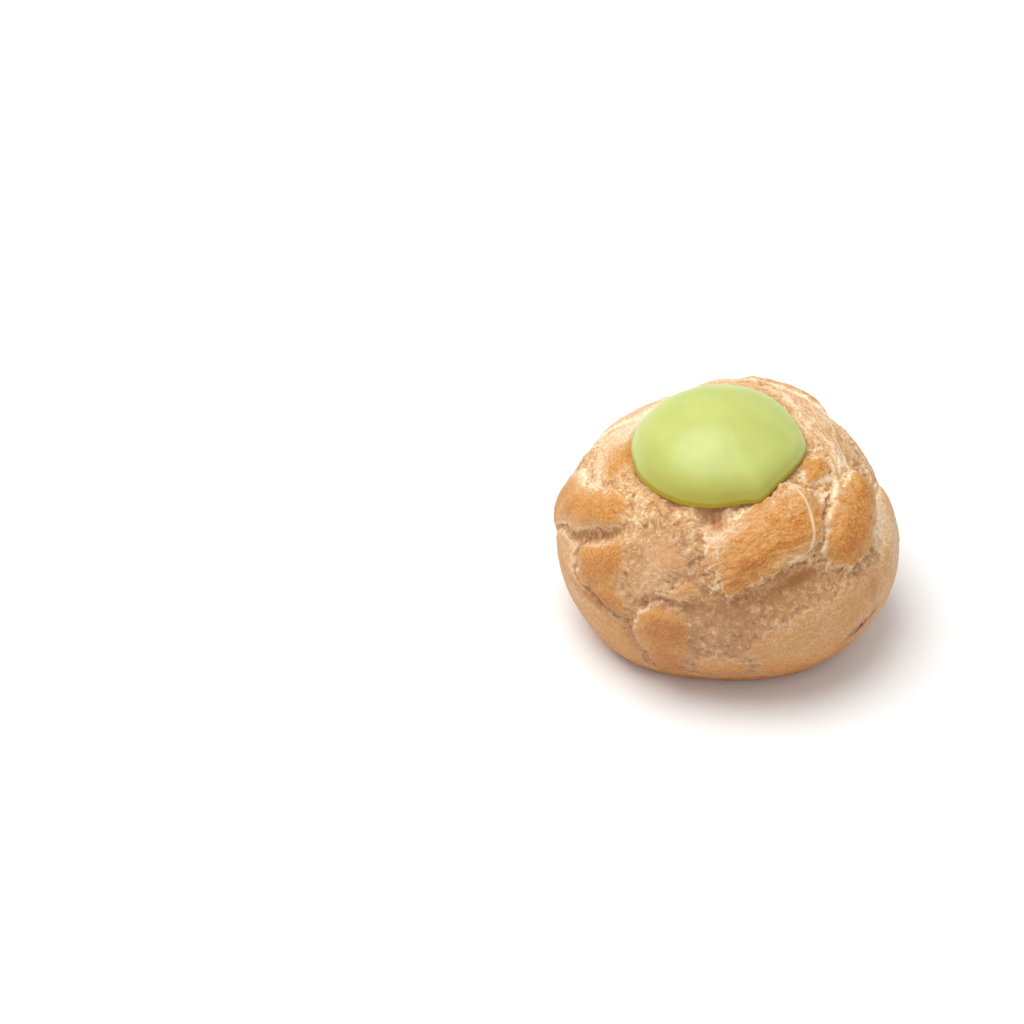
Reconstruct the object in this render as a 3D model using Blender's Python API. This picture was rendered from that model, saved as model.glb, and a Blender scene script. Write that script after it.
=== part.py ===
"""Cream puff: a choux bun with a torn, browned crust, and a cap of pale green icing on its top.

Metres, +Z up. The origin is the centre of the flat base, -Y is the front and +X is the right.
A ball of dough rose until its skin tore: islands of smooth skin stand above the stretched dough
between them. Each place on the bun is named by its bearing, in degrees from the front round to the
right, and its rise, in degrees above the widest level.
"""

import math

import bmesh
import bpy
import numpy as np
from mathutils import Matrix, Vector, noise

MM = 0.001

# The bun before it tore: an ellipsoid cut level near its foot. Below the cut, a low edge draws in
# to the flat base.
HALF_WIDTH = 29.1 * MM
HALF_DEPTH = 27.4 * MM
HALF_HEIGHT = 23.4 * MM
WIDEST_LEVEL = 16.4 * MM
BASE_EDGE_HEIGHT = 1.0 * MM
BASE_DRAWS_IN = 0.93

# Islands of skin: name, bearing, rise, half length, half width, turn from level, taper, lift above
# the tears, and how much more it lifts at its far end and at its upper side. Rows with one name
# join. Angles are in degrees and lengths in millimetres.
ISLANDS = (
    ("shoulder", -73, 27, 10.5, 4.5, 42, -0.1, 1.7, -0.6, -0.4),
    ("shoulder", -91, 11, 8.0, 5.0, 73, 0.0, 1.1, 0.0, 0.0),
    ("wedge", -49, 15, 8.8, 4.6, 44, 0.0, 1.4, -0.6, 0.0),
    ("wedge", -50, 4, 8.4, 3.6, -2, 0.0, 1.2, -0.4, 0.0),
    ("left toe", -21, -7, 9.6, 5.4, 88, -0.1, 1.1, 0.3, 0.6),
    ("flap", -29, 26, 6.0, 4.2, 55, 0.0, 0.5, 0.0, -0.6),
    ("flap", -20, 20, 5.4, 2.2, 20, 0.0, 0.8, 0.0, -0.5),
    ("right side", 39, -12, 16.0, 11.2, 5, 0.1, 0.7, 0.0, 0.0),
    ("right side", 86, -2, 12.5, 11.0, 82, -0.1, 0.9, 0.0, 0.0),
    ("bottom patch", 3, -18, 6.5, 4.4, -15, 0.0, 0.6, 0.0, 0.0),
    ("prow", 17, 45, 10.8, 5.6, 15, 0.0, 2.0, 0.5, -0.6),
    ("prow", 39, 53, 7.0, 4.6, 30, 0.0, 1.8, 0.0, -0.4),
    ("prow", 5, 31, 4.4, 2.8, 50, 0.0, 1.5, 0.3, 0.0),
    ("prow", -2, 43, 3.8, 4.4, 10, 0.0, 1.1, 0.3, 0.0),
    ("slab", 70, 40, 11.8, 5.6, 15, 0.08, 1.7, 0.0, -0.4),
    ("scrap", 67, 60, 6.2, 3.6, -6, 0.0, 1.3, 0.0, -0.3),
    ("back slope", 122, 55, 14.0, 6.4, 0, -0.1, 0.6, 0.0, -0.2),
    ("upper left", -103, 46, 11.0, 7.0, 20, 0.0, 0.7, 0.2, 0.0),
    ("belly", -58, -15, 15.0, 8.0, -20, -0.1, 0.7, 0.0, 0.0),
    ("right rear", 130, 14, 10.0, 8.0, 60, 0.1, 1.0, 0.0, 0.0),
    ("right heel", 130, -20, 11.0, 7.0, 0, 0.0, 1.0, 0.0, 0.2),
    ("rear crown", 166, 32, 12.5, 7.8, -25, 0.1, 1.8, 0.0, -0.5),
    ("rear heel", 168, -8, 12.5, 9.0, 18, -0.1, 1.3, 0.0, 0.3),
    ("left rear", -142, 14, 10.5, 8.4, 55, 0.1, 1.6, 0.3, 0.3),
    ("left heel", -122, -18, 12.5, 8.0, -6, 0.0, 1.1, 0.0, 0.2),
    ("rear left crown", -156, 48, 8.5, 6.0, 12, 0.0, 0.8, 0.0, -0.3),
)
ISLAND_SQUARENESS = 2.8
# An island's side: a short cliff, then a long round shoulder; the share of its lift in the cliff.
CLIFF_RUN = 0.8 * MM
SHOULDER_RUN = 4.0 * MM
CLIFF_SHARE = 0.55
TEAR_HALF_WIDTH = 0.6 * MM
WANDER = 1.0 * MM
WANDER_LENGTH = 5.0 * MM
LIFT_BLEND = 1.5 * MM
# The lowest skin never tore: it covers the foot, under this rise.
FOOT_RISE = -31.0
FOOT_LIFT = 0.9

# Broad swells and hollows under the skin: bearing, rise, half length, half width, turn, height.
# A hollow has a negative height.
SWELLS = (
    (18, 23, 12.0, 3.2, 14, -1.8),  # valley under the prow
    (30, 27, 3.6, 1.6, 14, -0.8),  # and its deepest hollow
    (-11, 50, 2.4, 2.6, 0, -1.5),  # pit in front of the icing
    (-61, 22, 8.0, 1.6, 46, -1.2),  # tear between shoulder and wedge
    (-52, 2, 9.0, 1.4, -28, -0.6),  # tear over the belly
    (-33, -12, 7.0, 1.3, -65, -0.8),  # tear beside the left toe
    (-20, 13, 6.0, 1.2, 10, -0.9),  # tear over the left toe
    (50, 45, 8.0, 1.6, 75, -1.2),  # tear between prow and slab
    (72, 22, 8.0, 1.8, 20, -1.0),  # tear between slab and flank
    (98, 40, 7.0, 2.4, 60, -1.6),  # notch behind the slab
    (116, 20, 15.0, 13.0, 0, -1.8),  # the back slopes away on the right
    (178, 48, 18.0, 11.0, 0, 2.2),  # and is full behind the icing
    (-116, 24, 8.0, 8.0, 0, 0.8),
    (-91, 2, 7.0, 6.0, 0, 1.0),
    (5, -38, 12.0, 6.0, 0, -1.0),  # the foot draws in at the front
    (-45, -34, 10.0, 6.0, 0, 1.2),
    (-70, -14, 8.0, 8.0, 0, 0.7),
    (-134, 43, 10.0, 9.0, 0, -2.5),
    (150, 5, 9.0, 2.5, 70, -1.4),
    (-165, 12, 9.0, 2.5, 80, -1.4),
)

# Icing: a round pool with a steep edge; its outline has a few corners.
ICING_CENTRE = (-3.0 * MM, -0.8 * MM)
ICING_RADIUS = 14.4 * MM
ICING_THICKNESS = 4.1 * MM
ICING_LIFT = 0.6 * MM
ICING_STEEPNESS = 2.05
# It lies thicker towards one bearing, by this share of its thickness at the edge.
ICING_LEAN_BEARING = -140
ICING_LEAN = 0.25
# Bearing and half width in degrees, and how far out it reaches in millimetres.
ICING_CORNERS = (
    (-20, 30, 0.4),
    (30, 9, 0.8),
    (55, 14, -0.3),
    (88, 14, 0.5),
    (125, 25, -0.4),
    (170, 40, 0.7),
    (-125, 24, 1.6),
    (-75, 35, 0.6),
)
ICING_SEGMENTS = 48
ICING_RINGS = 22
ICING_GAP = 0.3 * MM

CRUST_TRIANGLES = 7600
CRUST_SUBDIVISIONS = 6

RADII = np.array((HALF_WIDTH, HALF_DEPTH, HALF_HEIGHT))


def smoothstep(low, high, values):
    """0 below low, 1 above high, and a smooth S between them."""
    share = np.clip((values - low) / (high - low), 0, 1)
    return share * share * (3 - 2 * share)


def bumps(points, size, turn=0.0):
    """Smooth noise from about -1 to 1, with bumps of about that size."""
    shift = Vector((turn, 2 * turn, 3 * turn))
    return np.array([noise.noise(Vector(point) / size + shift) for point in points])


def wandered(points):
    """The points, shifted along a slow and a quick wander, so that straight edges come out ragged."""
    slow = [bumps(points, WANDER_LENGTH, turn) for turn in (1, 11, 21)]
    quick = [bumps(points, WANDER_LENGTH / 3, turn) for turn in (2, 12, 22)]
    return points + WANDER * (np.transpose(slow) + np.transpose(quick) / 2)


def on_ellipsoid(bearing, rise):
    """The point of the untorn bun there, seen from its widest level's centre, and its east and north."""
    b, r = math.radians(bearing), math.radians(rise)
    direction = np.array((math.cos(r) * math.sin(b), -math.cos(r) * math.cos(b), math.sin(r)))
    normal = direction / RADII
    normal /= np.linalg.norm(normal)
    east = np.array((math.cos(b), math.sin(b), 0.0))
    east -= normal * (east @ normal)
    east /= np.linalg.norm(east)
    return direction * RADII, normal, east, np.cross(normal, east)


def patch_coordinates(points, bearing, rise, turn):
    """How far each point lies along and across a patch that is centred there and turned."""
    centre, normal, east, north = on_ellipsoid(bearing, rise)
    away = points - centre
    angle = math.radians(turn)
    along = away @ (east * math.cos(angle) + north * math.sin(angle))
    across = away @ (north * math.cos(angle) - east * math.sin(angle))
    return along, across, away @ normal


def island_shape(points, island):
    """How far inside an island's outline each point lies, in metres, and the lift of its skin there."""
    bearing, rise, half_length, half_width, turn, taper, lift, end_lift, side_lift = island[1:]
    along, across, depth = patch_coordinates(points, bearing, rise, turn)
    u, v = along / (half_length * MM), across / (half_width * MM)
    v = v / (1 + taper * np.clip(u, -1.5, 1.5))
    lifts = (lift + end_lift * np.clip(u, -1, 1) + side_lift * np.clip(v, -1, 1)) * MM
    u, v, power = np.abs(u) + 1e-6, np.abs(v) + 1e-6, ISLAND_SQUARENESS
    size = (u**power + v**power) ** (1 / power)
    slope_u, slope_v = u ** (power - 1) / half_length, v ** (power - 1) / half_width
    slope = size ** (1 - power) * np.hypot(slope_u, slope_v) / MM
    far_side = depth < -HALF_HEIGHT
    return np.where(far_side, -HALF_WIDTH, (1 - size) / slope), lifts


def swell_height(points):
    """The sum of the broad swells and hollows, in metres."""
    total = np.zeros(len(points))
    for bearing, rise, half_length, half_width, turn, height in SWELLS:
        along, across, depth = patch_coordinates(points, bearing, rise, turn)
        spread = (along / (half_length * MM)) ** 2 + (across / (half_width * MM)) ** 2
        total += height * MM * np.exp(-spread) * (depth > -HALF_HEIGHT)
    return total


def skin_margin(points, directions):
    """How far each point is inside unbroken skin, and the lift of the skin nearest to it."""
    rise = np.degrees(np.arcsin(np.clip(directions[:, 2], -1, 1)))
    foot = np.radians(FOOT_RISE - rise) * HALF_HEIGHT
    points = wandered(points)
    shapes = [(foot, np.full(len(points), FOOT_LIFT * MM))]
    joined = {"foot": foot}
    for island in ISLANDS:
        margin, lift = island_shape(points, island)
        shapes.append((margin, lift))
        joined[island[0]] = np.maximum(joined.get(island[0], margin), margin)
    margins = np.array(list(joined.values()))
    second, first = np.sort(margins, axis=0)[-2:]
    # Skin joins the foot without a tear.
    beside_foot = (foot == first) | (foot == second)
    parted = np.where(beside_foot, first, (first - second) / 2 - TEAR_HALF_WIDTH)
    near = np.exp([(margin - first) / LIFT_BLEND for margin, _ in shapes])
    lift = (near * [lift for _, lift in shapes]).sum(axis=0) / near.sum(axis=0)
    return np.minimum(first, parted), lift


def icing_radius(bearing):
    """The icing's reach from its centre, seen from above, towards each bearing in degrees."""
    reach = ICING_RADIUS + 0 * bearing
    for corner, half_width, out in ICING_CORNERS:
        turn = (bearing - corner + 180) % 360 - 180
        reach = reach + out * MM * np.exp(-((turn / half_width) ** 2))
    return reach


def icing_share(points):
    """How far out under the icing each point is: 0 at its centre and 1 at its edge."""
    x, y = points[:, 0] - ICING_CENTRE[0], points[:, 1] - ICING_CENTRE[1]
    return np.hypot(x, y) / icing_radius(np.degrees(np.arctan2(x, -y)))


def under_icing(points):
    """1 well inside the icing's outline, and 0 outside it."""
    return (1 - smoothstep(0.75, 0.95, icing_share(points))) * (points[:, 2] > 0)


def crust_height(points, directions):
    """How far the crust stands above the untorn ellipsoid, in metres."""
    margin, lift = skin_margin(points, directions)
    cliff, shoulder = smoothstep(0, CLIFF_RUN, margin), smoothstep(0, SHOULDER_RUN, margin)
    skin = CLIFF_SHARE * cliff + (1 - CLIFF_SHARE) * shoulder
    torn = 0.55 * MM * bumps(points, 4 * MM, 3) + 0.3 * MM * bumps(points, 1.8 * MM, 4)
    groove = -0.5 * MM * np.exp(-(((margin + 0.8 * MM) / (0.8 * MM)) ** 2))
    relief = skin * lift + (1 - cliff) * torn + groove
    covered = under_icing(points)
    return (relief + swell_height(points)) * (1 - covered) + ICING_LIFT * covered


def crust_points(directions):
    """The crust's surface in each unit direction from the middle of the bun."""
    ellipsoid = directions * RADII
    normals = directions / RADII
    normals /= np.linalg.norm(normals, axis=1)[:, None]
    points = ellipsoid + normals * crust_height(ellipsoid, directions)[:, None]
    return points + (0, 0, WIDEST_LEVEL)


def material(name, colour, roughness):
    made = bpy.data.materials.new(name)
    made.use_nodes = True
    shader = made.node_tree.nodes["Principled BSDF"]
    shader.inputs["Base Color"].default_value = (*colour, 1)
    shader.inputs["Roughness"].default_value = roughness
    shader.inputs["Metallic"].default_value = 0
    return made


def new_object(name, mesh_maker, collection, surface):
    mesh = bpy.data.meshes.new(name)
    shape = bmesh.new()
    mesh_maker(shape)
    shape.to_mesh(mesh)
    shape.free()
    made = bpy.data.objects.new(name, mesh)
    collection.objects.link(made)
    mesh.materials.append(surface)
    mesh.shade_smooth()
    return made


def move_vertices(shape, points):
    for vertex, point in zip(shape.verts, points):
        vertex.co = point


def shape_crust(shape):
    bmesh.ops.create_icosphere(shape, subdivisions=CRUST_SUBDIVISIONS, radius=1)
    directions = np.array([vertex.co.normalized() for vertex in shape.verts])
    move_vertices(shape, crust_points(directions))


def body_top(points):
    """The height of the smooth bun under the icing."""
    share = 1 - (points[:, 0] / HALF_WIDTH) ** 2 - (points[:, 1] / HALF_DEPTH) ** 2
    return WIDEST_LEVEL + HALF_HEIGHT * np.sqrt(np.maximum(share, 0))


def shape_icing(shape):
    """A ball pressed to a pool: its upper half domes over the bun and its lower half is inside it."""
    bmesh.ops.create_uvsphere(shape, u_segments=ICING_SEGMENTS, v_segments=ICING_RINGS, radius=1)
    points = np.array([vertex.co for vertex in shape.verts])
    level = np.degrees(np.arcsin(np.clip(points[:, 2], -1, 1)))
    bearing = np.degrees(np.arctan2(points[:, 0], -points[:, 1]))
    share = np.cos(np.radians(level)) ** (2 / ICING_STEEPNESS)
    reach = icing_radius(bearing) * share
    dome = np.sin(np.radians(np.abs(level))) ** (2 / ICING_STEEPNESS)
    points[:, 0] = ICING_CENTRE[0] + reach * np.sin(np.radians(bearing))
    points[:, 1] = ICING_CENTRE[1] - reach * np.cos(np.radians(bearing))
    lean = 1 + ICING_LEAN * share * np.cos(np.radians(bearing - ICING_LEAN_BEARING))
    heights = np.where(level > 0, ICING_THICKNESS * lean * dome, -2 * MM * dome)
    points[:, 2] = body_top(points) + ICING_LIFT + heights
    move_vertices(shape, points)


def apply_modifiers(target):
    """Makes the object's evaluated shape its own mesh."""
    graph = bpy.context.evaluated_depsgraph_get()
    mesh = bpy.data.meshes.new_from_object(target.evaluated_get(graph))
    target.modifiers.clear()
    target.data = mesh


def cut_base(mesh):
    """Cuts the bun level at its foot, draws a low edge in below the cut, and closes the flat base."""
    shape = bmesh.new()
    shape.from_mesh(mesh)
    cut = bmesh.ops.bisect_plane(
        shape,
        geom=shape.verts[:] + shape.edges[:] + shape.faces[:],
        dist=0.00001,
        plane_co=(0, 0, BASE_EDGE_HEIGHT),
        plane_no=(0, 0, -1),
        clear_outer=True,
    )
    rim = [item for item in cut["geom_cut"] if isinstance(item, bmesh.types.BMVert)]
    bmesh.ops.remove_doubles(shape, verts=rim, dist=BASE_EDGE_HEIGHT)
    open_edges = [edge for edge in shape.edges if edge.is_boundary]
    low = bmesh.ops.extrude_edge_only(shape, edges=open_edges)["geom"]
    for vertex in (item for item in low if isinstance(item, bmesh.types.BMVert)):
        vertex.co = (vertex.co.x * BASE_DRAWS_IN, vertex.co.y * BASE_DRAWS_IN, 0)
    low_edges = [item for item in low if isinstance(item, bmesh.types.BMEdge)]
    bmesh.ops.edgeloop_fill(shape, edges=low_edges)
    bmesh.ops.recalc_face_normals(shape, faces=shape.faces[:])
    shape.to_mesh(mesh)
    shape.free()


def build_bun(collection):
    skin = material("baked_choux", (0.62, 0.33, 0.13), 0.6)
    bun = new_object("choux_bun", shape_crust, collection, skin)
    fewer = bun.modifiers.new("fewer_faces", "DECIMATE")
    fewer.ratio = CRUST_TRIANGLES / len(bun.data.polygons)
    apply_modifiers(bun)
    cut_base(bun.data)
    return bun


def build_icing(bun, collection, helpers):
    green = material("pistachio_icing", (0.6, 0.7, 0.24), 0.3)
    icing = new_object("icing_cap", shape_icing, collection, green)
    cutter = bpy.data.objects.new("icing_seat", bun.data.copy())
    helpers.objects.link(cutter)
    cutter.hide_render = True
    cutter.display_type = "WIRE"
    clearance = cutter.modifiers.new("clearance", "DISPLACE")
    clearance.strength = ICING_GAP
    clearance.mid_level = 0
    seat = icing.modifiers.new("seat", "BOOLEAN")
    seat.operation = "DIFFERENCE"
    seat.object = cutter
    return icing, cutter


def centre_over_origin(bun, others):
    """Moves every mesh so that the middle of the bun's width and depth is at the origin."""
    corners = np.array(bun.bound_box)
    middle = (corners.min(axis=0) + corners.max(axis=0)) / 2
    for piece in (bun, *others):
        piece.data.transform(Matrix.Translation((-middle[0], -middle[1], 0)))


def main():
    for old in list(bpy.data.objects):
        bpy.data.objects.remove(old)
    puff = bpy.data.collections.new("cream_puff")
    helpers = bpy.data.collections.new("cutters")
    bpy.context.scene.collection.children.link(puff)
    bpy.context.scene.collection.children.link(helpers)
    bun = build_bun(puff)
    centre_over_origin(bun, build_icing(bun, puff, helpers))


main()
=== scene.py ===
"""Looks of an iced cream puff: a torn, browned choux crust, pale green icing and a thread of glaze.

Metres, +Z up, -Y the front. Each place on the crust is named by its bearing, in degrees from the
front round to the right, and its rise, in degrees above the widest level.
"""

import math

import bpy
import numpy as np
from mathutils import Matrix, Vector, noise


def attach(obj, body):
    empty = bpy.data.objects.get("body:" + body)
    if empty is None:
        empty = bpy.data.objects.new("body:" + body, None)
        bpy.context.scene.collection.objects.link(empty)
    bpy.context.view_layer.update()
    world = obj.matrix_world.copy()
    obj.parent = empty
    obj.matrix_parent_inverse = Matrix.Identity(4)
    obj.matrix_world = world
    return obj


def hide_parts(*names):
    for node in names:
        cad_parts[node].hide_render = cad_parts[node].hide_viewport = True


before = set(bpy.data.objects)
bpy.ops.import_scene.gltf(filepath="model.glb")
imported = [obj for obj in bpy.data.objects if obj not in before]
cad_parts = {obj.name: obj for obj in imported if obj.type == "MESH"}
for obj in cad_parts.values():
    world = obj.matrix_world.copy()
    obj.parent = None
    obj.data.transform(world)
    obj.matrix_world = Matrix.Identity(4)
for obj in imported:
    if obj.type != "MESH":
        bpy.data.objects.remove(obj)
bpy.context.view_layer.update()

MM = 0.001

# ---------------------------------------------------------------- sizes of the puff

HALF_WIDTH = 29.1 * MM
HALF_DEPTH = 27.4 * MM
HALF_HEIGHT = 23.4 * MM
WIDEST_LEVEL = 16.4 * MM
BASE_ROUNDING = 1.6 * MM
RADII = np.array((HALF_WIDTH, HALF_DEPTH, HALF_HEIGHT))

# Islands of skin: name, bearing, rise, half length, half width, turn from level, taper, lift above
# the tears, and how much more it lifts at its far end and at its upper side. Rows with one name
# join. Angles are in degrees and lengths in millimetres.
ISLANDS = (
    ("shoulder", -73, 27, 10.5, 4.5, 42, -0.1, 1.7, -0.6, -0.4),
    ("shoulder", -91, 11, 8.0, 5.0, 73, 0.0, 1.1, 0.0, 0.0),
    ("wedge", -49, 15, 8.8, 4.6, 44, 0.0, 1.4, -0.6, 0.0),
    ("wedge", -50, 4, 8.4, 3.6, -2, 0.0, 1.2, -0.4, 0.0),
    ("left toe", -21, -7, 9.6, 5.4, 88, -0.1, 1.1, 0.3, 0.6),
    ("flap", -29, 26, 6.0, 4.2, 55, 0.0, 0.5, 0.0, -0.6),
    ("flap", -20, 20, 5.4, 2.2, 20, 0.0, 0.8, 0.0, -0.5),
    ("right side", 39, -12, 16.0, 11.2, 5, 0.1, 0.7, 0.0, 0.0),
    ("right side", 86, -2, 12.5, 11.0, 82, -0.1, 0.9, 0.0, 0.0),
    ("bottom patch", 3, -18, 6.5, 4.4, -15, 0.0, 0.6, 0.0, 0.0),
    ("prow", 17, 45, 10.8, 5.6, 15, 0.0, 2.0, 0.5, -0.6),
    ("prow", 39, 53, 7.0, 4.6, 30, 0.0, 1.8, 0.0, -0.4),
    ("prow", 5, 31, 4.4, 2.8, 50, 0.0, 1.5, 0.3, 0.0),
    ("prow", -2, 43, 3.8, 4.4, 10, 0.0, 1.1, 0.3, 0.0),
    ("slab", 70, 40, 11.8, 5.6, 15, 0.08, 1.7, 0.0, -0.4),
    ("scrap", 67, 60, 6.2, 3.6, -6, 0.0, 1.3, 0.0, -0.3),
    ("back slope", 122, 55, 14.0, 6.4, 0, -0.1, 0.6, 0.0, -0.2),
    ("upper left", -103, 46, 11.0, 7.0, 20, 0.0, 0.7, 0.2, 0.0),
    ("belly", -58, -15, 15.0, 8.0, -20, -0.1, 0.7, 0.0, 0.0),
    ("right rear", 130, 14, 10.0, 8.0, 60, 0.1, 1.0, 0.0, 0.0),
    ("right heel", 130, -20, 11.0, 7.0, 0, 0.0, 1.0, 0.0, 0.2),
    ("rear crown", 166, 32, 12.5, 7.8, -25, 0.1, 1.8, 0.0, -0.5),
    ("rear heel", 168, -8, 12.5, 9.0, 18, -0.1, 1.3, 0.0, 0.3),
    ("left rear", -142, 14, 10.5, 8.4, 55, 0.1, 1.6, 0.3, 0.3),
    ("left heel", -122, -18, 12.5, 8.0, -6, 0.0, 1.1, 0.0, 0.2),
    ("rear left crown", -156, 48, 8.5, 6.0, 12, 0.0, 0.8, 0.0, -0.3),
)
ISLAND_SQUARENESS = 2.8
# An island's side: a short cliff, then a long round shoulder; the share of its lift in the cliff.
CLIFF_RUN = 0.8 * MM
SHOULDER_RUN = 4.0 * MM
CLIFF_SHARE = 0.55
TEAR_HALF_WIDTH = 0.35 * MM
WANDER = 1.0 * MM
WANDER_LENGTH = 5.0 * MM
LIFT_BLEND = 1.5 * MM
# The lowest skin never tore: it covers the foot, under this rise.
FOOT_RISE = -31.0
FOOT_LIFT = 0.9

# How far apart the marks of the crust's texture lie, and how far its strings reach from an edge.
TUFT_SPACING = 0.9 * MM
SMALL_TUFT_SPACING = 0.7 * MM
FINGER_SPACING = 0.9 * MM
PUFF_SPACING = 1.6 * MM
SMALL_PUFF_SPACING = 0.8 * MM
BUBBLE_SPACING = 1.1 * MM
STRING_SPACING = 0.9 * MM
STRING_REACH = 4.0 * MM
BLISTER_SPACING = 2.6 * MM
SMALL_BLISTER_SPACING = 0.8 * MM
BLOTCH_SPACING = 6.0 * MM
STREAK_SPACING = 0.55 * MM
# Streaks are drawn out this many times their width, and their pattern shifts this far from one
# island to the next, so that no two are alike.
STREAK_STRETCH = 6
STREAK_OFFSET = 30 * MM

# How brown each island baked, how streaky the stretch left it, and how much its low edges fray.
FINISHES = {
    "foot": (0.60, 0.1, 0.0),
    "shoulder": (0.76, 0.1, 1.0),
    "wedge": (0.86, 0.1, 1.0),
    "left toe": (0.80, 0.1, 1.0),
    "flap": (0.46, 0.1, 1.0),
    "right side": (0.54, 0.3, 0.7),
    "bottom patch": (0.50, 0.1, 0.3),
    "prow": (0.72, 0.7, 0.3),
    "slab": (0.80, 0.4, 0.6),
    "scrap": (0.92, 0.2, 0.3),
    "back slope": (0.40, 0.9, 1.0),
    "upper left": (0.32, 0.5, 1.0),
    "belly": (0.52, 0.15, 0.15),
    "right rear": (0.60, 0.2, 1.0),
    "right heel": (0.50, 0.1, 0.3),
    "rear crown": (0.60, 0.6, 1.0),
    "rear heel": (0.55, 0.1, 0.3),
    "left rear": (0.45, 0.2, 1.0),
    "left heel": (0.50, 0.1, 0.3),
    "rear left crown": (0.34, 0.6, 1.0),
}

# Broad swells and hollows: bearing, rise, half length, half width, turn, height. A hollow has a
# negative height.
SWELLS = (
    (18, 23, 12.0, 3.2, 14, -1.8),  # valley under the prow
    (30, 27, 3.6, 1.6, 14, -0.8),  # and its deepest hollow
    (-11, 50, 2.4, 2.6, 0, -1.5),  # pit in front of the icing
    (-61, 22, 8.0, 1.6, 46, -1.2),  # tear between shoulder and wedge
    (-52, 2, 9.0, 1.4, -28, -0.6),  # tear over the belly
    (-33, -12, 7.0, 1.3, -65, -0.8),  # tear beside the left toe
    (-20, 13, 6.0, 1.2, 10, -0.9),  # tear over the left toe
    (50, 45, 8.0, 1.6, 75, -1.2),  # tear between prow and slab
    (72, 22, 8.0, 1.8, 20, -1.0),  # tear between slab and flank
    (98, 40, 7.0, 2.4, 60, -1.6),  # notch behind the slab
    (116, 20, 15.0, 13.0, 0, -1.8),  # the back slopes away on the right
    (178, 48, 18.0, 11.0, 0, 2.2),  # and is full behind the icing
    (-116, 24, 8.0, 8.0, 0, 0.8),
    (-91, 2, 7.0, 6.0, 0, 1.0),
    (5, -38, 12.0, 6.0, 0, -1.0),  # the foot draws in at the front
    (-45, -34, 10.0, 6.0, 0, 1.2),
    (-70, -14, 8.0, 8.0, 0, 0.7),
    (-134, 43, 10.0, 9.0, 0, -2.5),
    (150, 5, 9.0, 2.5, 70, -1.4),
    (-165, 12, 9.0, 2.5, 80, -1.4),
)

# Patches that took more colour than what is round them, or less, in the same terms as the swells.
BLUSHES = (
    (16, 39, 8.0, 1.4, 27, 0.20),  # ridge of the prow
    (-6, 43, 2.4, 5.0, 0, -0.50),  # its frayed tips
    (13, 52, 8.0, 1.8, 14, -0.12),
    (79, 27, 7.0, 1.6, 4, -0.20),  # outer wall of the slab
    (86, 52, 6.0, 1.3, -10, -0.20),  # and its pale upper edge
    (-84, 50, 4.0, 3.0, 20, 0.40),
    (-76, 43, 3.0, 2.0, 0, 0.30),
    (-44, 50, 7.0, 3.0, -30, 0.30),
    (-11, 32, 4.5, 5.0, 0, 0.40),
    (-21, 37, 5.0, 4.0, 0, 0.05),
    # Painted shade in the valley under the prow, drawn as a browner, darker patch.
    (14, 20, 10.0, 4.0, 14, 0.50),
    (0, 5, 7.0, 5.0, 0, 0.30),
    (5, -24, 9.0, 5.0, 0, 0.30),
    (57, 17, 6.0, 3.5, -20, 0.15),
    (78, 14, 8.0, 7.0, 0, -0.15),
    (45, -20, 9.0, 6.0, 0, 0.12),
    (-95, 26, 7.0, 2.5, 35, -0.35),  # top of the shoulder
    (-130, 48, 10.0, 6.0, 0, -0.20),
)
# Patches higher up that get the same pinkish tan painted shade as the low side of the bun.
TAN_SHADES = (
    (-22, 35, 6.0, 5.0, 10, 0.6),
    (-30, 27, 5.0, 4.0, 0, 0.2),
)
SCORCHES = (
    (59, -6, 1.2, 0.8, 60, 0.7),
    (51, -9, 2.2, 1.0, 25, 1.0),
)
# Brown painted shade low in the tears and hollows, and in the pit under the icing's front; the crumb
# there is also drawn smoother.
HOLLOW_SHADES = (
    (-9, 52, 2.2, 2.4, 0, 1.6),
    (30, 27, 3.2, 1.2, 14, 0.9),
    (18, 23, 9.0, 2.0, 14, 0.5),
    (-62, 21, 7.0, 1.1, 46, 0.9),
    (-50, -3, 9.0, 0.8, -2, 1.0),
    (-19, 15, 6.5, 0.9, 8, 0.9),
    (-33, -13, 6.0, 0.8, -65, 0.8),
    (58, 8, 3.5, 0.9, 80, 0.6),
    (104, 38, 5.0, 1.4, 60, 0.6),
)

# Icing: a round pool with a steep edge, thicker towards one bearing, whose rim sags towards another.
ICING_CENTRE = (-3.0 * MM, -0.8 * MM)
ICING_RADIUS = 14.4 * MM
ICING_THICKNESS = 4.1 * MM
ICING_LIFT = 0.6 * MM
ICING_STEEPNESS = 2.05
ICING_LEAN_BEARING = -140
ICING_LEAN = 0.25
ICING_SAG_BEARING = -135
ICING_SAG_HALF_WIDTH = 30
ICING_SAG = 1.2 * MM
ICING_ROOT_DEPTH = 1.2 * MM
# Corners in its outline: bearing and half width in degrees, and how far out it reaches there in mm.
ICING_CORNERS = (
    (-20, 30, 0.4),
    (30, 9, 0.8),
    (55, 14, -0.3),
    (88, 14, 0.5),
    (125, 25, -0.4),
    (170, 40, 0.7),
    (-125, 24, 1.6),
    (-75, 35, 0.6),
)

ICING_SEGMENTS = 160
ICING_RINGS = 80

# The thread of glaze: the bearing and rise of each point that it runs through, from the icing down.
GLAZE_PATH = ((44, 64), (43, 57), (41, 50), (38, 44), (36, 40), (33, 37), (29, 34))
GLAZE_RADIUS = 0.4 * MM
GLAZE_SUNK = 0.14 * MM
GLAZE_STEPS = 60

CRUST_SUBDIVISIONS = 8
CRUST_FACES = 195000

# ---------------------------------------------------------------- sizes of the studio

FLOOR_SIZE = 3.0
SOFTBOX_DISTANCE = 0.7
CAMERA_DISTANCE = 0.5
CAMERA_ELEVATION = math.radians(42)
CAMERA_LENS_MM = 100
CAMERA_SENSOR_MM = 36
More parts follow.
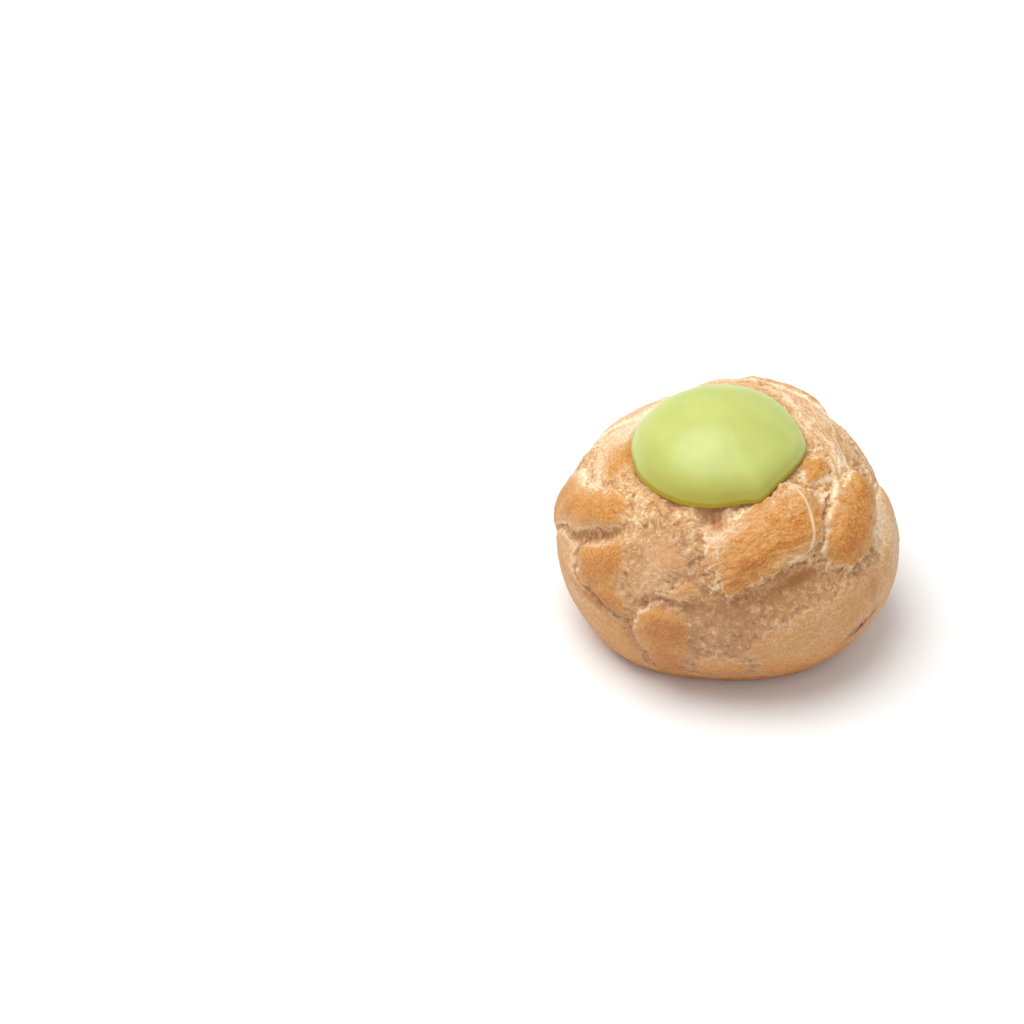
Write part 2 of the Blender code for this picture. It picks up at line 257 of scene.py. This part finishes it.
# The camera looks past a point inside the bun, so that the bun stands right of the middle.
VIEW_MIDDLE = Vector((0, 0, 16.8 * MM))
VIEW_SHIFT_SIDEWAYS = -37.7 * MM
VIEW_SHIFT_UP = 0.7 * MM

# ---------------------------------------------------------------- the form of the crust


def smoothstep(low, high, values):
    """0 below low, 1 above high, and a smooth S between them."""
    share = np.clip((values - low) / (high - low), 0, 1)
    return share * share * (3 - 2 * share)


def bell(values, middle, half_width):
    """1 at the middle, falling away smoothly on both sides."""
    return np.exp(-(((values - middle) / half_width) ** 2))


def bumps(points, size, turn=0.0):
    """Smooth noise from about -1 to 1, with bumps of about that size."""
    shift = Vector((turn, 2 * turn, 3 * turn))
    return np.array([noise.noise(Vector(point) / size + shift) for point in points])


def web(points, size, turn=0.0):
    """A net of narrow walls round cells of about that size: 1 on the walls and 0 inside the cells."""
    return np.clip(1 - 2.6 * np.abs(bumps(points, size, turn)), 0, 1)


def wandered(points):
    """The points, shifted along a slow and a quick wander, so that straight edges come out ragged."""
    slow = [bumps(points, WANDER_LENGTH, turn) for turn in (1, 11, 21)]
    quick = [bumps(points, WANDER_LENGTH / 3, turn) for turn in (2, 12, 22)]
    return points + WANDER * (np.transpose(slow) + np.transpose(quick) / 2)


def outward_normals(directions):
    """The untorn bun's outward normal in each direction."""
    normals = directions / RADII
    return normals / np.linalg.norm(normals, axis=1)[:, None]


def on_ellipsoid(bearing, rise):
    """The point of the untorn bun there, its outward normal, and its east and north."""
    b, r = math.radians(bearing), math.radians(rise)
    direction = np.array((math.cos(r) * math.sin(b), -math.cos(r) * math.cos(b), math.sin(r)))
    normal = direction / RADII
    normal /= np.linalg.norm(normal)
    east = np.array((math.cos(b), math.sin(b), 0.0))
    east -= normal * (east @ normal)
    east /= np.linalg.norm(east)
    return direction * RADII, normal, east, np.cross(normal, east)


def patch(points, bearing, rise, turn):
    """How far each point lies along and across a turned patch there, and the patch's two axes."""
    centre, normal, east, north = on_ellipsoid(bearing, rise)
    away = points - centre
    angle = math.radians(turn)
    along_axis = east * math.cos(angle) + north * math.sin(angle)
    across_axis = north * math.cos(angle) - east * math.sin(angle)
    return away @ along_axis, away @ across_axis, away @ normal, along_axis, across_axis


def patches_sum(points, rows):
    """The sum of soft round-edged patches, each fading out from its middle."""
    total = np.zeros(len(points))
    for bearing, rise, half_length, half_width, turn, amount in rows:
        along, across, depth, _, _ = patch(points, bearing, rise, turn)
        spread = (along / (half_length * MM)) ** 2 + (across / (half_width * MM)) ** 2
        total += amount * np.exp(-spread) * (depth > -HALF_HEIGHT)
    return total


def island_field(points, island):
    """An island's inside margin, lift, inward direction and streak coordinates at each point."""
    bearing, rise, half_length, half_width, turn, taper, lift, end_lift, side_lift = island[1:]
    along, across, depth, along_axis, across_axis = patch(points, bearing, rise, turn)
    u, v = along / (half_length * MM), across / (half_width * MM)
    v = v / (1 + taper * np.clip(u, -1.5, 1.5))
    lifts = (lift + end_lift * np.clip(u, -1, 1) + side_lift * np.clip(v, -1, 1)) * MM
    sign_u, sign_v = np.sign(u), np.sign(v)
    u, v, power = np.abs(u) + 1e-6, np.abs(v) + 1e-6, ISLAND_SQUARENESS
    size = (u**power + v**power) ** (1 / power)
    slope_u, slope_v = u ** (power - 1) / half_length, v ** (power - 1) / half_width
    steep = np.hypot(slope_u, slope_v)
    margin = (1 - size) * size ** (power - 1) * MM / steep
    margin = np.where(depth < -HALF_HEIGHT, -HALF_WIDTH, margin)
    inward = np.outer(-sign_u * slope_u / steep, along_axis)
    inward += np.outer(-sign_v * slope_v / steep, across_axis)
    return margin, lifts, inward, along, across


def skin_field(points, rise):
    """Where unbroken skin is, in metres inside its edge, and the lift, way in and finish there."""
    foot = np.radians(FOOT_RISE - rise) * HALF_HEIGHT
    round_bun = np.arctan2(points[:, 0], -points[:, 1]) * HALF_WIDTH
    points = wandered(points)
    names, margins, lifts = ["foot"], [foot], [np.full(len(points), FOOT_LIFT * MM)]
    joined = {"foot": foot}
    own = foot.copy()
    inward = np.tile((0.0, 0.0, -1.0), (len(points), 1))
    streak_place = np.column_stack((points[:, 2] / STREAK_STRETCH, round_bun, 0 * own))
    for number, island in enumerate(ISLANDS, 1):
        margin, lift, towards, along, across = island_field(points, island)
        names.append(island[0])
        margins.append(margin)
        lifts.append(lift)
        joined[island[0]] = np.maximum(joined.get(island[0], margin), margin)
        nearer = margin > own
        own = np.maximum(own, margin)
        inward[nearer] = towards[nearer]
        streaks = (along / STREAK_STRETCH, across, 0 * own + STREAK_OFFSET * number)
        streak_place[nearer] = np.column_stack(streaks)[nearer]
    second, first = np.sort(list(joined.values()), axis=0)[-2:]
    # Skin joins the foot without a tear.
    beside_foot = (foot == first) | (foot == second)
    parted = np.where(beside_foot, first, (first - second) / 2 - TEAR_HALF_WIDTH)
    near = np.exp((np.array(margins) - first) / LIFT_BLEND)
    near /= near.sum(axis=0)
    finish = np.transpose([FINISHES[name] for name in names]) @ near
    lift = (near * lifts).sum(axis=0)
    return np.minimum(first, parted), own, lift, inward, finish, streak_place


def icing_radius(bearing):
    """The icing's reach from its centre, seen from above, towards each bearing in degrees."""
    reach = ICING_RADIUS + 0 * bearing
    for corner, half_width, out in ICING_CORNERS:
        turn = (bearing - corner + 180) % 360 - 180
        reach = reach + out * MM * np.exp(-((turn / half_width) ** 2))
    return reach


def icing_share(points):
    """How far out under the icing each point is: 0 at its centre and 1 at its edge."""
    x, y = points[:, 0] - ICING_CENTRE[0], points[:, 1] - ICING_CENTRE[1]
    return np.hypot(x, y) / icing_radius(np.degrees(np.arctan2(x, -y)))


def stand_on_base(heights):
    """Presses what hangs below the base flat, with a rounded foot."""
    pressed = (heights + BASE_ROUNDING) ** 2 / (4 * BASE_ROUNDING)
    pressed = np.where(heights < -BASE_ROUNDING, 0.0, pressed)
    return np.where(heights > BASE_ROUNDING, heights, pressed)


def frayed(points, margin, own, lift, inward, streaks, fray, streak_place):
    """The skin's margin once its edge is frayed, and how far the skin there breaks up into crumb.

    Torn edges have tufts that run straight across them. Where the skin lies low, it breaks up
    instead of ending in a cliff.
    """
    soft = np.clip(1.7 - lift / (0.8 * MM), 0, 1) * fray
    edge = points - inward * own[:, None]
    tufts = 0.35 * bumps(edge, TUFT_SPACING, 5) + 0.25 * bumps(points, SMALL_TUFT_SPACING, 6)
    fingers = 1.2 * streaks * bumps(streak_place, FINGER_SPACING, 16)
    return margin + (tufts * (1 + 2 * soft) + fingers) * MM, soft


def crumb_marks(points, margin, own, inward, soft):
    """Puffs with creases between them, burst bubbles, and strings drawn out near a torn edge."""
    drawn = points - inward * (0.4 * own)[:, None]
    puffs = 0.6 * np.abs(bumps(drawn, PUFF_SPACING, 7))
    puffs += 0.4 * np.abs(bumps(points, SMALL_PUFF_SPACING, 8))
    bubbles = smoothstep(0.36, 0.6, bumps(points, BUBBLE_SPACING, 13))
    near_edge = smoothstep(-STRING_REACH, -0.4 * MM, margin) * (1 - soft)
    strings = web(points - inward * own[:, None], STRING_SPACING, 9) * near_edge
    return puffs, bubbles, strings


def crust_surface(directions):
    """The baked surface in each direction, and what the finish needs to know about it."""
    ellipsoid = directions * RADII
    rise = np.degrees(np.arcsin(np.clip(directions[:, 2], -1, 1)))
    margin, own, lift, inward, finish, streak_place = skin_field(ellipsoid, rise)
    bake, streaks, fray = finish
    margin, soft = frayed(ellipsoid, margin, own, lift, inward, streaks, fray, streak_place)
    puffs, bubbles, strings = crumb_marks(ellipsoid, margin, own, inward, soft)
    streak = web(streak_place, STREAK_SPACING, 12) - 0.3
    # Painted shade low in the tears and hollows, from 0 to 1.
    stain = np.clip(patches_sum(ellipsoid, HOLLOW_SHADES), 0, 1)
    # How low on the bun each point lies: it sets the painted shade there, and flattens the crumb a
    # little.
    low = smoothstep(55, -10, rise)

    # The form, in millimetres above the untorn bun: skin, torn dough and the groove between them.
    cliff = smoothstep(0, CLIFF_RUN * (1 + 2.5 * soft), margin)
    shoulder = smoothstep(0, SHOULDER_RUN, margin)
    skin = CLIFF_SHARE * cliff + (1 - CLIFF_SHARE) * shoulder
    torn = 0.5 * bumps(ellipsoid, 4 * MM, 3) + 0.3 * bumps(ellipsoid, 1.8 * MM, 4)
    groove = -0.4 * bell(margin, -0.7 * MM, 0.7 * MM) * (1 - soft)
    # The texture: a raised rim, blistered and streaky skin, and crumb drawn smoother in the hollows that
    # get painted shade.
    rim = bell(margin, 0.2 * MM, 0.25 * MM) * (1 - soft)
    blister = 0.07 * bumps(ellipsoid, BLISTER_SPACING, 10)
    blister += 0.05 * bumps(ellipsoid, SMALL_BLISTER_SPACING, 11)
    crumb = (0.55 * puffs - 0.25 * bubbles + 0.2 * strings) * (1 - 0.7 * stain) * (1 - 0.25 * low)
    crumb -= 0.1
    fine = cliff * (blister + 0.08 * streaks * streak) + (1 - cliff) * crumb + 0.12 * rim
    swells = patches_sum(ellipsoid, SWELLS)
    relief = skin * lift + ((1 - cliff) * torn * (1 - 0.7 * stain) + groove + fine + swells) * MM

    share = icing_share(ellipsoid)
    above = ellipsoid[:, 2] > 0
    covered = (1 - smoothstep(0.86, 0.98, share)) * above
    relief = relief * (1 - covered) + ICING_LIFT * covered
    points = ellipsoid + outward_normals(directions) * relief[:, None]
    points[:, 2] = stand_on_base(points[:, 2] + WIDEST_LEVEL)

    blush = patches_sum(ellipsoid, BLUSHES)
    blotch = bumps(ellipsoid, BLOTCH_SPACING, 15)
    # A band of painted shade where the crust meets the icing's edge.
    icing_edge_shade = bell(share, 0.97, 0.05) * above
    foot = smoothstep(0, -40, rise)
    brown = bake * (0.8 + 0.3 * shoulder) + 0.12 * blotch + blush - 0.4 * streaks * streak
    # Crumb tone: paler on its puffs and strings and darker in burst bubbles, partly its own colour and
    # partly painted shade in the pits. Painted shade also darkens it low on the bun and in the groove
    # just outside each skin edge.
    tone = 0.28 + 0.9 * puffs + 0.3 * strings - 0.25 * bubbles - 0.5 * blush
    tone -= 0.2 * low
    tone += 0.12 * blotch - 0.15 * bell(margin, -0.7 * MM, 0.5 * MM) * (1 - soft)
    looks = {
        "margin": margin / MM - 0.9 * soft,
        "fray": 1 + 4 * soft,
        "rim": 1 - soft,
        # Browner towards the bottom, and painted shade where the crust meets the icing.
        "brown": brown + 0.3 * foot + 0.2 * icing_edge_shade,
        "tone": tone,
        # Painted shade: a pinkish tan low on the bun and in a few patches higher up.
        "low": low * (1 - 0.5 * cliff) + patches_sum(ellipsoid, TAN_SHADES),
        "stain": np.clip(stain * (1 - 0.6 * strings) + 0.4 * icing_edge_shade, 0, 1),
        "scorch": patches_sum(ellipsoid, SCORCHES) * (0.8 + bumps(ellipsoid, 0.9 * MM, 14)),
    }
    return points, looks


# ---------------------------------------------------------------- making things


def deselect_all():
    if bpy.context.object and bpy.context.object.mode != "OBJECT":
        bpy.ops.object.mode_set(mode="OBJECT")
    bpy.ops.object.select_all(action="DESELECT")


def read_points(piece):
    flat = np.empty(len(piece.data.vertices) * 3, np.float32)
    piece.data.vertices.foreach_get("co", flat)
    return flat.reshape(-1, 3).astype(float)


def move_points(piece, points):
    piece.data.vertices.foreach_set("co", points.astype(np.float32).ravel())
    piece.data.update()


def store(piece, name, values):
    """Keeps one number for each vertex, for the material to read."""
    layer = piece.data.attributes.new(name, "FLOAT", "POINT")
    layer.data.foreach_set("value", np.asarray(values, np.float32))


def finish_piece(piece, name, material, node=None):
    """Names a piece, gives it its material, hangs it from the root body, and hides the model's part that
    it stands for.
    """
    piece.name = piece.data.name = name
    piece.data.shade_smooth()
    piece.data.materials.append(material)
    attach(piece, "root")
    if node:
        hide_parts(node)


# ---------------------------------------------------------------- materials


def linear(hex_colour):
    """An sRGB hex colour as linear red, green, blue and alpha."""
    parts = [int(hex_colour[i : i + 2], 16) / 255 for i in (1, 3, 5)]
    return (*[c / 12.92 if c <= 0.04045 else ((c + 0.055) / 1.055) ** 2.4 for c in parts], 1)


def new_material(name):
    """A new material, its node tree and its shader."""
    material = bpy.data.materials.new(name)
    material.use_nodes = True
    return material, material.node_tree, material.node_tree.nodes["Principled BSDF"]


def add(tree, kind, inputs=(), output=0, stops=(), **settings):
    """Adds a node with its settings, fills or links its inputs, and gives back one of its outputs."""
    node = tree.nodes.new(kind)
    for name, value in settings.items():
        setattr(node, name, value)
    for socket, value in dict(inputs).items():
        if isinstance(value, bpy.types.NodeSocket):
            tree.links.new(value, node.inputs[socket])
        else:
            node.inputs[socket].default_value = linear(value) if isinstance(value, str) else value
    for number, (place, colour) in enumerate(stops):
        if number >= 2:
            node.color_ramp.elements.new(place)
        node.color_ramp.elements[number].position = place
        node.color_ramp.elements[number].color = linear(colour)
    return node.outputs[output]


def choux_patterns(tree):
    """Freckles and mottling, both centred on 0, and the net of narrow walls in torn crumb."""
    place = add(tree, "ShaderNodeTexCoord", output="Object")
    noises = []
    for size, detail, roughness in ((0.42 * MM, 2, 0.6), (1.3 * MM, 3, 0.6)):
        noise_inputs = {"Vector": place, "Scale": 1 / size, "Detail": detail, "Roughness": roughness}
        raw = add(tree, "ShaderNodeTexNoise", noise_inputs, "Fac")
        noises.append(add(tree, "ShaderNodeMath", {0: raw, 1: 0.5}, operation="SUBTRACT"))
    # The net's walls lie 0.9 mm apart, where another noise passes through its middle value.
    net_inputs = {"Vector": place, "Scale": 1 / (0.9 * MM), "Detail": 1, "Distortion": 0.8}
    cells = add(tree, "ShaderNodeTexNoise", net_inputs, "Fac")
    away = add(tree, "ShaderNodeMath", {0: cells, 1: 0.5}, operation="SUBTRACT")
    away = add(tree, "ShaderNodeMath", {0: away}, operation="ABSOLUTE")
    net = add(tree, "ShaderNodeMapRange", {"Value": away, "From Max": 0.08, "To Min": 1, "To Max": 0})
    return (*noises, net)


def choux_colour(tree, read, skin):
    """The browning of the skin and the creams of the crumb, with the spots laid over them."""
    skin_colour = add(
        tree,
        "ShaderNodeValToRGB",
        {"Fac": read["brown"]},
        stops=(
            (0.0, "#F4E0C0"),
            (0.25, "#E4C298"),
            (0.5, "#D0A06C"),
            (0.75, "#C98A38"),
            (1.0, "#B26820"),
        ),
    )
    crumb_colour = add(
        tree,
        "ShaderNodeValToRGB",
        {"Fac": read["tone"]},
        stops=((0.0, "#AC7A50"), (0.3, "#BE8B58"), (0.6, "#DAAE78"), (1.0, "#F4E2C2")),
    )
    both = {"Factor": skin, 6: crumb_colour, 7: skin_colour}
    colour = add(tree, "ShaderNodeMix", both, 2, data_type="RGBA")
    # Low on the bun, and in a few patches higher up, the colour is painted a pinkish tan as shade away
    # from the lamp above. The painted shade in the hollows and the scorches lie over that.
    for spot, strength, paint in (
        ("low", 0.42, "#B28A70"),
        ("stain", 0.9, "#AE7440"),
        ("scorch", 1.2, "#5A2A22"),
    ):
        weight = {0: read[spot], 1: strength}
        weight = add(tree, "ShaderNodeMath", weight, operation="MULTIPLY", use_clamp=True)
        colour = add(tree, "ShaderNodeMix", {"Factor": weight, 6: colour, 7: paint}, 2, data_type="RGBA")
    return colour


def baked_choux():
    """Baked choux: dry and matt; the skin browns in freckles, and the torn crumb stays cream."""
    material, tree, shader = new_material("baked_choux")
    freckle, mottle, net = choux_patterns(tree)
    read = {
        name: add(tree, "ShaderNodeAttribute", attribute_name=name, output="Fac")
        for name in ("margin", "fray", "rim", "brown", "tone", "low", "stain", "scorch")
    }
    # Just inside a torn edge the skin is a pale line.
    line_place = {0: read["margin"], 1: 0.5, 2: 0.5}
    line_place = add(tree, "ShaderNodeMath", line_place, operation="MULTIPLY_ADD")
    line_stops = ((0.5, "#000000"), (0.63, "#FFFFFF"), (0.95, "#000000"))
    line = add(tree, "ShaderNodeValToRGB", {"Fac": line_place}, stops=line_stops)
    rim = add(tree, "ShaderNodeMath", {0: line, 1: read["rim"]}, operation="MULTIPLY")
    # The noises break up the colours, and fray the skin out into the crumb where it lies low.
    for name, extras in (
        ("margin", ((freckle, read["fray"]), (mottle, read["fray"]))),
        ("brown", ((freckle, 1.0), (mottle, 0.4), (rim, -0.5))),
        ("tone", ((freckle, 0.6), (mottle, 0.4), (net, 0.35))),
    ):
        for extra, weight in extras:
            total = {0: extra, 1: weight, 2: read[name]}
            read[name] = add(tree, "ShaderNodeMath", total, operation="MULTIPLY_ADD")
    skin_range = {"Value": read["margin"], "From Min": -0.1, "From Max": 0.25}
    skin = add(tree, "ShaderNodeMapRange", skin_range, interpolation_type="SMOOTHSTEP")
    tree.links.new(choux_colour(tree, read, skin), shader.inputs["Base Color"])
    matt = add(tree, "ShaderNodeMath", {0: skin, 1: -0.25, 2: 0.85}, operation="MULTIPLY_ADD")
    tree.links.new(matt, shader.inputs["Roughness"])
    shader.inputs["Subsurface Weight"].default_value = 0.3
    shader.inputs["Subsurface Radius"].default_value = (1.0, 0.6, 0.4)
    shader.inputs["Subsurface Scale"].default_value = 0.9 * MM
    # Freckles are pimples and the crumb's net is raised; the mottling is a slow dimpling.
    torn = add(tree, "ShaderNodeMath", {0: 1, 1: skin}, operation="SUBTRACT")
    torn_net = add(tree, "ShaderNodeMath", {0: net, 1: torn}, operation="MULTIPLY")
    height = add(tree, "ShaderNodeMath", {0: torn_net, 1: 0.5, 2: freckle}, operation="MULTIPLY_ADD")
    pimples = {"Height": height, "Strength": 1.0, "Distance": 0.12 * MM}
    dimples = {"Height": mottle, "Strength": 1.0, "Distance": 0.1 * MM}
    dimples["Normal"] = add(tree, "ShaderNodeBump", pimples)
    tree.links.new(add(tree, "ShaderNodeBump", dimples), shader.inputs["Normal"])
    return material


def sugar_icing():
    """Set sugar icing: opaque pale green with a soft shine, olive where it thins out at its edge, and
    painted olive shade down its front.
    """
    material, tree, shader = new_material("sugar_icing")
    place = add(tree, "ShaderNodeTexCoord", output="Object")
    thin = add(tree, "ShaderNodeAttribute", attribute_name="thin", output="Fac")
    cloud = add(tree, "ShaderNodeTexNoise", {"Vector": place, "Scale": 1 / (6 * MM), "Detail": 2}, "Fac")
    body = add(tree, "ShaderNodeValToRGB", {"Fac": cloud}, stops=((0.3, "#B3BC64"), (0.7, "#BCC56E")))
    colour = add(tree, "ShaderNodeMix", {"Factor": thin, 6: body, 7: "#9C880C"}, 2, data_type="RGBA")
    tree.links.new(colour, shader.inputs["Base Color"])
    shader.inputs["Roughness"].default_value = 0.34
    shader.inputs["IOR"].default_value = 1.45
    shader.inputs["Subsurface Weight"].default_value = 0.25
    shader.inputs["Subsurface Radius"].default_value = (1.0, 1.0, 0.4)
    shader.inputs["Subsurface Scale"].default_value = 1.2 * MM
    ripple_inputs = {"Vector": place, "Scale": 1 / (3.0 * MM), "Detail": 4, "Roughness": 0.6}
    ripple = add(tree, "ShaderNodeTexNoise", ripple_inputs, "Fac")
    soft_ripple = {"Height": ripple, "Strength": 0.5, "Distance": 0.1 * MM}
    tree.links.new(add(tree, "ShaderNodeBump", soft_ripple), shader.inputs["Normal"])
    return material


def dried_glaze():
    """Dried sugar glaze: a pale, glossy, slightly clear thread."""
    material, _, shader = new_material("dried_sugar_glaze")
    shader.inputs["Base Color"].default_value = linear("#DCB68C")
    shader.inputs["Roughness"].default_value = 0.3
    shader.inputs["Subsurface Weight"].default_value = 0.4
    shader.inputs["Subsurface Radius"].default_value = (1.0, 0.8, 0.5)
    shader.inputs["Subsurface Scale"].default_value = 0.8 * MM
    return material


def white_card():
    """Matt white card, the studio's sweep."""
    material, _, shader = new_material("white_card")
    shader.inputs["Base Color"].default_value = linear("#F4F4F3")
    shader.inputs["Roughness"].default_value = 0.9
    return material


# ---------------------------------------------------------------- the pieces


def make_crust():
    deselect_all()
    bpy.ops.mesh.primitive_ico_sphere_add(subdivisions=CRUST_SUBDIVISIONS, radius=1)
    crust = bpy.context.object
    directions = read_points(crust)
    directions /= np.linalg.norm(directions, axis=1)[:, None]
    points, looks = crust_surface(directions)
    shift = -(points.min(axis=0) + points.max(axis=0)) / 2 * (1, 1, 0)
    move_points(crust, points + shift)
    for name, values in looks.items():
        store(crust, name, values)
    if len(crust.data.polygons) > CRUST_FACES:
        fewer = crust.modifiers.new("fewer_faces", "DECIMATE")
        fewer.ratio = CRUST_FACES / len(crust.data.polygons)
        bpy.ops.object.modifier_apply(modifier=fewer.name)
    finish_piece(crust, "choux_crust", baked_choux(), "choux_bun")
    return shift


def body_top(points):
    """The height of the smooth bun under the icing."""
    share = 1 - (points[:, 0] / HALF_WIDTH) ** 2 - (points[:, 1] / HALF_DEPTH) ** 2
    return WIDEST_LEVEL + HALF_HEIGHT * np.sqrt(np.maximum(share, 0))


def make_icing(shift):
    """A ball pressed to a pool: its upper half domes over the bun and its lower half is inside it."""
    deselect_all()
    bpy.ops.mesh.primitive_uv_sphere_add(segments=ICING_SEGMENTS, ring_count=ICING_RINGS, radius=1)
    icing = bpy.context.object
    points = read_points(icing)
    level = np.degrees(np.arcsin(np.clip(points[:, 2], -1, 1)))
    bearing = np.degrees(np.arctan2(points[:, 0], -points[:, 1]))
    share = np.cos(np.radians(level)) ** (2 / ICING_STEEPNESS)
    ring = np.column_stack((np.sin(np.radians(bearing)), np.cos(np.radians(bearing)), 0 * bearing))
    wander = 0.1 * MM * bumps(ring, 0.12, 21) + 0.2 * MM * bumps(ring, 0.5, 22)
    reach = (icing_radius(bearing) + wander) * share
    dome = np.sin(np.radians(np.abs(level))) ** (2 / ICING_STEEPNESS)
    dome *= 1 - 0.5 * smoothstep(0.9, 1, share)
    points[:, 0] = ICING_CENTRE[0] + reach * np.sin(np.radians(bearing))
    points[:, 1] = ICING_CENTRE[1] - reach * np.cos(np.radians(bearing))
    lean = 1 + ICING_LEAN * share * np.cos(np.radians(bearing - ICING_LEAN_BEARING))
    heights = np.where(level > 0, ICING_THICKNESS * lean * dome, -ICING_ROOT_DEPTH * dome)
    # Its rim sags into the hollow at the back left.
    from_sag = (bearing - ICING_SAG_BEARING + 180) % 360 - 180
    heights -= ICING_SAG * smoothstep(0.75, 1, share) * bell(from_sag, 0, ICING_SAG_HALF_WIDTH)
    plan = points * (1, 1, 0)
    uneven = 0.2 * MM * bumps(plan, 8 * MM, 23) + 0.03 * MM * bumps(plan, 3 * MM, 24)
    points[:, 2] = body_top(points) + ICING_LIFT + heights + uneven * dome * (level > 0)
    move_points(icing, points + shift)
    # At its very edge it thins out and turns olive; a wide band down its front gets the same olive as
    # painted shade.
    front_shade = np.clip((share - 0.72) / 0.28, 0, 1) * np.clip(np.cos(np.radians(bearing)), 0, 1)
    store(icing, "thin", np.clip(smoothstep(0.97, 0.995, share) + 0.75 * front_shade, 0, 1))
    finish_piece(icing, "icing_pool", sugar_icing(), "icing_cap")


def smoothed(rows, rounds):
    """The rows, each averaged with its neighbours that many times over; the ends stay."""
    for _ in range(rounds):
        rows[1:-1] = (rows[:-2] + rows[1:-1] + rows[2:]) / 3
    return rows


def glaze_line():
    """Points along the glaze thread's middle, half sunk in the crust."""
    path = np.array(GLAZE_PATH, float)
    where = np.linspace(0, len(path) - 1, GLAZE_STEPS)
    places = np.column_stack([np.interp(where, range(len(path)), column) for column in path.T])
    bearing, rise = np.radians(smoothed(places, 4).T)
    directions = np.column_stack(
        (np.cos(rise) * np.sin(bearing), -np.cos(rise) * np.cos(bearing), np.sin(rise))
    )
    points, _ = crust_surface(directions)
    return smoothed(points, 6) - outward_normals(directions) * GLAZE_SUNK


def make_glaze_thread(shift):
    """A dried thread of glaze that runs off the icing and over the prow."""
    deselect_all()
    bpy.ops.curve.primitive_nurbs_path_add()
    thread = bpy.context.object
    spline = thread.data.splines[0]
    spline.points.add(GLAZE_STEPS - len(spline.points))
    for i, (point, place) in enumerate(zip(spline.points, glaze_line() + shift)):
        point.co = (*place, 1)
        # It is full in the middle and thins out at both ends.
        point.radius = 0.3 + 0.7 * math.sin(math.pi * (i + 4) / (GLAZE_STEPS + 8)) ** 0.6
    thread.data.bevel_depth = GLAZE_RADIUS
    thread.data.bevel_resolution = 4
    thread.data.use_fill_caps = True
    bpy.ops.object.convert(target="MESH")
    finish_piece(bpy.context.object, "glaze_thread", dried_glaze())


# ---------------------------------------------------------------- studio


def make_floor():
    deselect_all()
    bpy.ops.mesh.primitive_plane_add(size=FLOOR_SIZE)
    floor = bpy.context.object
    floor.name = "studio_floor"
    floor.data.materials.append(white_card())


def light_studio():
    """A white room, and one round soft lamp above that faces the bun."""
    scene = bpy.context.scene
    scene.view_settings.view_transform = "Standard"
    scene.world = bpy.data.worlds.new("white_room")
    scene.world.use_nodes = True
    background = scene.world.node_tree.nodes["Background"]
    background.inputs["Color"].default_value = (1, 1, 1, 1)
    background.inputs["Strength"].default_value = 0.66
    lamp = bpy.data.lights.new("key", "AREA")
    lamp.shape = "DISK"
    lamp.size = 0.6
    lamp.energy = 4.2
    holder = bpy.data.objects.new("key", lamp)
    scene.collection.objects.link(holder)
    holder.location = Vector((-0.28, 0.02, 0.96)).normalized() * SOFTBOX_DISTANCE
    holder.rotation_euler = holder.location.to_track_quat("Z", "Y").to_euler()


def place_camera():
    cos, sin = math.cos(CAMERA_ELEVATION), math.sin(CAMERA_ELEVATION)
    towards, up = Vector((0, -cos, sin)), Vector((0, sin, cos))
    camera = bpy.data.objects.new("camera", bpy.data.cameras.new("camera"))
    bpy.context.scene.collection.objects.link(camera)
    camera.data.lens = CAMERA_LENS_MM
    camera.data.sensor_width = CAMERA_SENSOR_MM
    camera.data.clip_start = 0.01
    camera.location = VIEW_MIDDLE + towards * CAMERA_DISTANCE
    aim = VIEW_MIDDLE + Vector((VIEW_SHIFT_SIDEWAYS, 0, 0)) + up * VIEW_SHIFT_UP
    camera.rotation_euler = (aim - camera.location).to_track_quat("-Z", "Y").to_euler()
    bpy.context.scene.camera = camera


crust_shift = make_crust()
make_icing(crust_shift)
make_glaze_thread(crust_shift)
make_floor()
light_studio()
place_camera()
